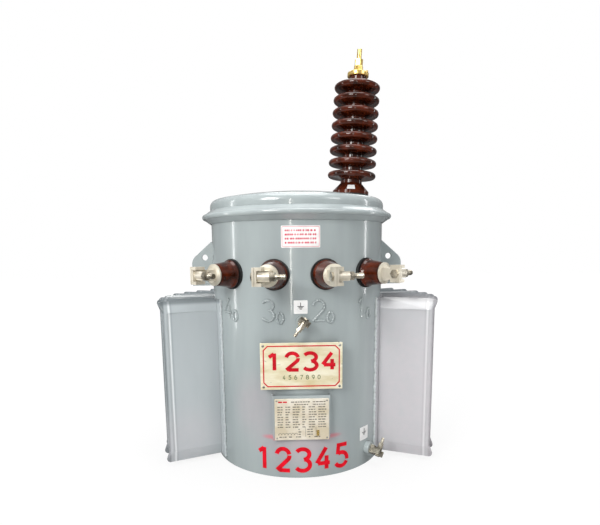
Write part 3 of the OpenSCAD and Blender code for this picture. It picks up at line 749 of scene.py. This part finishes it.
def name_plate(w=202 * MM, h=117 * MM):
    """Large plate with a red frame with cut corners and plain digits."""
    low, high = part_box("name_bracket")
    place = on_plane(PLATE_X, low[1] - PLATE_GAP, (low[2] + high[2]) / 2)
    plate_piece("name_plate", w, h, 1.5 * MM, place, GOLD_PLATE)
    margin, cut, line_w = 8 * MM, 10 * MM, 2.8 * MM
    a, b = w / 2 - margin, h / 2 - margin
    frame_line = [(a, b - cut), (a - cut, b), (-a + cut, b), (-a, b - cut),
                  (-a, -b + cut), (-a + cut, -b), (a - cut, -b), (a, -b + cut)]
    shape = Shape()
    ribbon(shape, frame_line, line_w, place, PLATE_T, PLATE_T + DECAL_T, True)
    shape.build("name_plate_frame", RED_INK)
    plate_digits("name_plate_digits", "1234", height=42 * MM, gap=14 * MM, stretch=1.2, stroke_w=9 * MM,
                 up=12 * MM, step=3 * MM, place=place, material=RED_INK)
    plate_digits("name_plate_small_digits", "4567890", height=10 * MM, gap=8.5 * MM, stretch=0.95,
                 stroke_w=1.7 * MM, up=-28 * MM, step=10 * MM, place=place, material=GREEN_INK)
    corner_screws("name_plate_screws", w, h, 7 * MM, place, 3.2 * MM)


# Rows of the data plate, counted from the top. Below LAST_FULL_ROW the left part holds the coils.
LAST_FULL_ROW, LAST_ROW = 10, 14
ROW_PITCH = 6.5 * MM


def rows_of(row):
    """Starts and ends of the dashes in one row of the data plate, in mm from its left margin."""
    if row == 0:
        return (34, 82), (88, 120)
    if row == 1:
        return (42, 78), (88, 120)
    if row == LAST_ROW:
        return (4, 22), (28, 38), (46, 62), (78, 84), (92, 112)
    if row > LAST_FULL_ROW:
        return (52, 60), (74, 92)
    return (0, 14), (20, 32), (38, 56), (62, 72), (78, 98), (102, 122)


def data_plate(w=136 * MM, h=107 * MM):
    """Data plate with rows of plain dashes, two ruled lines, red marks, a brass patch and a row of coils."""
    low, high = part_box("rating_bracket")
    drop = 3 * MM
    place = on_plane(PLATE_X, low[1] - PLATE_GAP, (low[2] + high[2]) / 2 - drop)
    plate_piece("data_plate", w, h, 2.5 * MM, place, DATA_PLATE)
    left, bottom, first_row = -w / 2 + 7 * MM, -h / 2, h / 2 - 8 * MM
    dash_w, rule_w, mark_w, patch_w, coil_w = 2.4 * MM, 0.7 * MM, 3.4 * MM, 7 * MM, 0.9 * MM
    shortest, dash_gap = 4 * MM, 1.5 * MM
    inked, raised = PLATE_T + DECAL_T, PLATE_T + DECAL_T + LIFT

    def upright(u, start, end):
        """An upright line, in mm from the left margin and from the bottom edge."""
        return [(left + u * MM, bottom + start * MM), (left + u * MM, bottom + end * MM)]

    shape = Shape()
    for row in range(LAST_ROW + 1):
        v = first_row - row * ROW_PITCH
        for start, end in rows_of(row):
            u = left + start * MM
            while u < left + end * MM - shortest:
                length = rng.uniform(3, 9) * MM
                dash = [(u, v), (min(u + length, left + end * MM), v)]
                ribbon(shape, dash, dash_w, place, PLATE_T, inked)
                u += length + dash_gap
    for u in (70, 96):
        ribbon(shape, upright(u, 8, 34), rule_w, place, PLATE_T, inked)
    shape.build("data_plate_lines", DARK_INK)

    shape = Shape()
    for start, end in ((2, 12), (14, 24)):
        mark = [(left + start * MM, first_row), (left + end * MM, first_row)]
        ribbon(shape, mark, mark_w, place, PLATE_T, raised)
    shape.build("data_plate_mark", RED_INK)

    shape = Shape()
    ribbon(shape, upright(101, 10, 25), patch_w, place, PLATE_T, raised)
    shape.build("data_plate_patch", BRASS)

    shape = Shape()
    for u in range(6, 54, 8):
        coil = arc(left + u * MM, bottom + 13 * MM, 4 * MM, 5 * MM, 180, 0, steps=8)
        ribbon(shape, coil, coil_w, place, PLATE_T, inked)
    shape.build("data_plate_coils", DARK_INK)
    corner_screws("data_plate_screws", w, h, 5 * MM, place, 2.2 * MM)


# Stage, light and camera
FLOOR_HALF, FLOOR_Z = 9.0, -0.5 * MM
FLOOR_SHADE = (0.6, 0.6, 0.6, 1)
FLOOR_MIRRORED = (0.16, 0.16, 0.16, 1)


def stage_material():
    """Pale floor that stays near white to the camera, more so away from the object, and keeps its shadow."""
    mat = bpy.data.materials.new("pale_floor")
    mat.use_nodes = True
    tree = mat.node_tree
    tree.nodes.clear()
    out = tree.nodes.new("ShaderNodeOutputMaterial")
    path = tree.nodes.new("ShaderNodeLightPath")
    shade = tree.nodes.new("ShaderNodeMix")
    shade.data_type = "RGBA"
    shade.inputs["A"].default_value = FLOOR_SHADE
    shade.inputs["B"].default_value = FLOOR_MIRRORED
    tree.links.new(path.outputs["Is Glossy Ray"], shade.inputs["Factor"])
    matte = tree.nodes.new("ShaderNodeBsdfDiffuse")
    tree.links.new(shade.outputs["Result"], matte.inputs["Color"])
    glow = node(tree, "ShaderNodeEmission", Strength=1.03)
    fade = spread(tree, length_of(tree, position(tree)), 0.84, 1.0, start=0.5, end=2.0)
    mix = tree.nodes.new("ShaderNodeMixShader")
    tree.links.new(combine(tree, "MULTIPLY", path.outputs["Is Camera Ray"], fade), mix.inputs["Fac"])
    tree.links.new(matte.outputs["BSDF"], mix.inputs[1])
    tree.links.new(glow.outputs["Emission"], mix.inputs[2])
    tree.links.new(mix.outputs["Shader"], out.inputs["Surface"])
    return mat


def stage():
    """A wide floor just under the object."""
    mesh = bpy.data.meshes.new("floor")
    corners = ((-1, -1), (1, -1), (1, 1), (-1, 1))
    mesh.from_pydata([(x * FLOOR_HALF, y * FLOOR_HALF, FLOOR_Z) for x, y in corners], [], [[0, 1, 2, 3]])
    floor = bpy.data.objects.new("floor", mesh)
    mesh.materials.append(stage_material())
    bpy.context.scene.collection.objects.link(floor)


def world():
    """White to the camera, and a soft sky that dims towards the horizon to everything else."""
    scene_world = bpy.data.worlds.new("studio")
    bpy.context.scene.world = scene_world
    scene_world.use_nodes = True
    tree = scene_world.node_tree
    back = tree.nodes["Background"]
    path = tree.nodes.new("ShaderNodeLightPath")
    seen = combine(tree, "MAXIMUM", path.outputs["Is Camera Ray"], path.outputs["Is Transmission Ray"])
    axes = tree.nodes.new("ShaderNodeSeparateXYZ")
    coords = tree.nodes.new("ShaderNodeTexCoord")
    tree.links.new(coords.outputs["Generated"], axes.inputs["Vector"])
    sky = spread(tree, axes.outputs["Z"], 0.13, 0.68, start=-0.05, end=0.75)
    level = tree.nodes.new("ShaderNodeMix")
    level.inputs["B"].default_value = 1.0
    tree.links.new(seen, level.inputs["Factor"])
    tree.links.new(sky, level.inputs["A"])
    back.inputs["Color"].default_value = (1, 1, 1, 1)
    tree.links.new(level.outputs["Result"], back.inputs["Strength"])


def area_light(name, place, target, size, power, colour):
    """A rectangular lamp that faces its target."""
    data = bpy.data.lights.new(name, "AREA")
    data.shape = "RECTANGLE"
    data.size, data.size_y = size
    data.energy = power
    data.color = colour
    lamp = bpy.data.objects.new(name, data)
    lamp.location = place
    lamp.rotation_euler = (Vector(target) - Vector(place)).to_track_quat("-Z", "Y").to_euler()
    bpy.context.scene.collection.objects.link(lamp)


# Lamps: name, place, target, width and height, watts and colour
MIDDLE = (0, 0, 0.55)
WHITE = (1, 1, 1)
LAMPS = (
    ("key", (-1.9, -2.9, 2.1), MIDDLE, (1.2, 1.6), 92, (1, 0.99, 0.97)),
    ("fill", (2.3, -2.2, 1.9), MIDDLE, (0.9, 1.2), 17, WHITE),
    ("back", (0.6, 2.2, 2.8), (0, 0, 0.75), (2.2, 1.4), 26, WHITE),
    ("top", (0.0, -0.3, 3.8), MIDDLE, (2.6, 2.6), 88, WHITE),
    ("strip", (-0.55, -3.4, 0.85), MIDDLE, (0.1, 1.7), 9, (1, 0.97, 0.9)),
    ("left_edge", (-2.5, -0.1, 0.8), MIDDLE, (0.14, 1.7), 7, WHITE),
    ("right_edge", (2.5, 0.2, 0.8), MIDDLE, (0.14, 1.7), 6, WHITE),
)

# The photograph's camera: 600 by 525 pixels, lengths in metres, angles in degrees
IMAGE_W, IMAGE_H = 600, 525
FOCAL_PX = 474.6
CENTRE_PX = (297.7, 325.0)
DISTANCE, CAM_HEIGHT = 1.3848, 0.5766
PITCH, AZIMUTH, ROLL = 8.889, -1.664, 0.576
SENSOR_W = 36


def camera():
    """A camera that sees the object as the photograph does."""
    a, t, r = (math.radians(v) for v in (AZIMUTH, PITCH, ROLL))
    right = Vector((math.cos(a), math.sin(a), 0))
    ahead = Vector((-math.sin(a) * math.cos(t), math.cos(a) * math.cos(t), -math.sin(t)))
    down = ahead.cross(right)
    side = math.cos(r) * right + math.sin(r) * down
    below = -math.sin(r) * right + math.cos(r) * down
    data = bpy.data.cameras.new("camera")
    data.sensor_width = SENSOR_W
    data.lens = FOCAL_PX / IMAGE_W * SENSOR_W
    data.shift_x = (IMAGE_W / 2 - CENTRE_PX[0]) / IMAGE_W
    data.shift_y = (CENTRE_PX[1] - IMAGE_H / 2) / IMAGE_W
    data.clip_end = 50
    item = bpy.data.objects.new("camera", data)
    place = Vector((DISTANCE * math.sin(a), -DISTANCE * math.cos(a), CAM_HEIGHT))
    turn = Matrix((side, -below, -ahead)).transposed()
    item.matrix_world = Matrix.Translation(place) @ turn.to_4x4()
    bpy.context.scene.collection.objects.link(item)
    bpy.context.scene.camera = item


bpy.context.scene.view_settings.view_transform = "Standard"
dress_nodes()
weld_beads()
weld_numbers()
stencil()
white_label()
earth_labels()
foot_sticker()
bolt_threads()
name_plate()
data_plate()
stage()
world()
for lamp in LAMPS:
    area_light(*lamp)
camera()
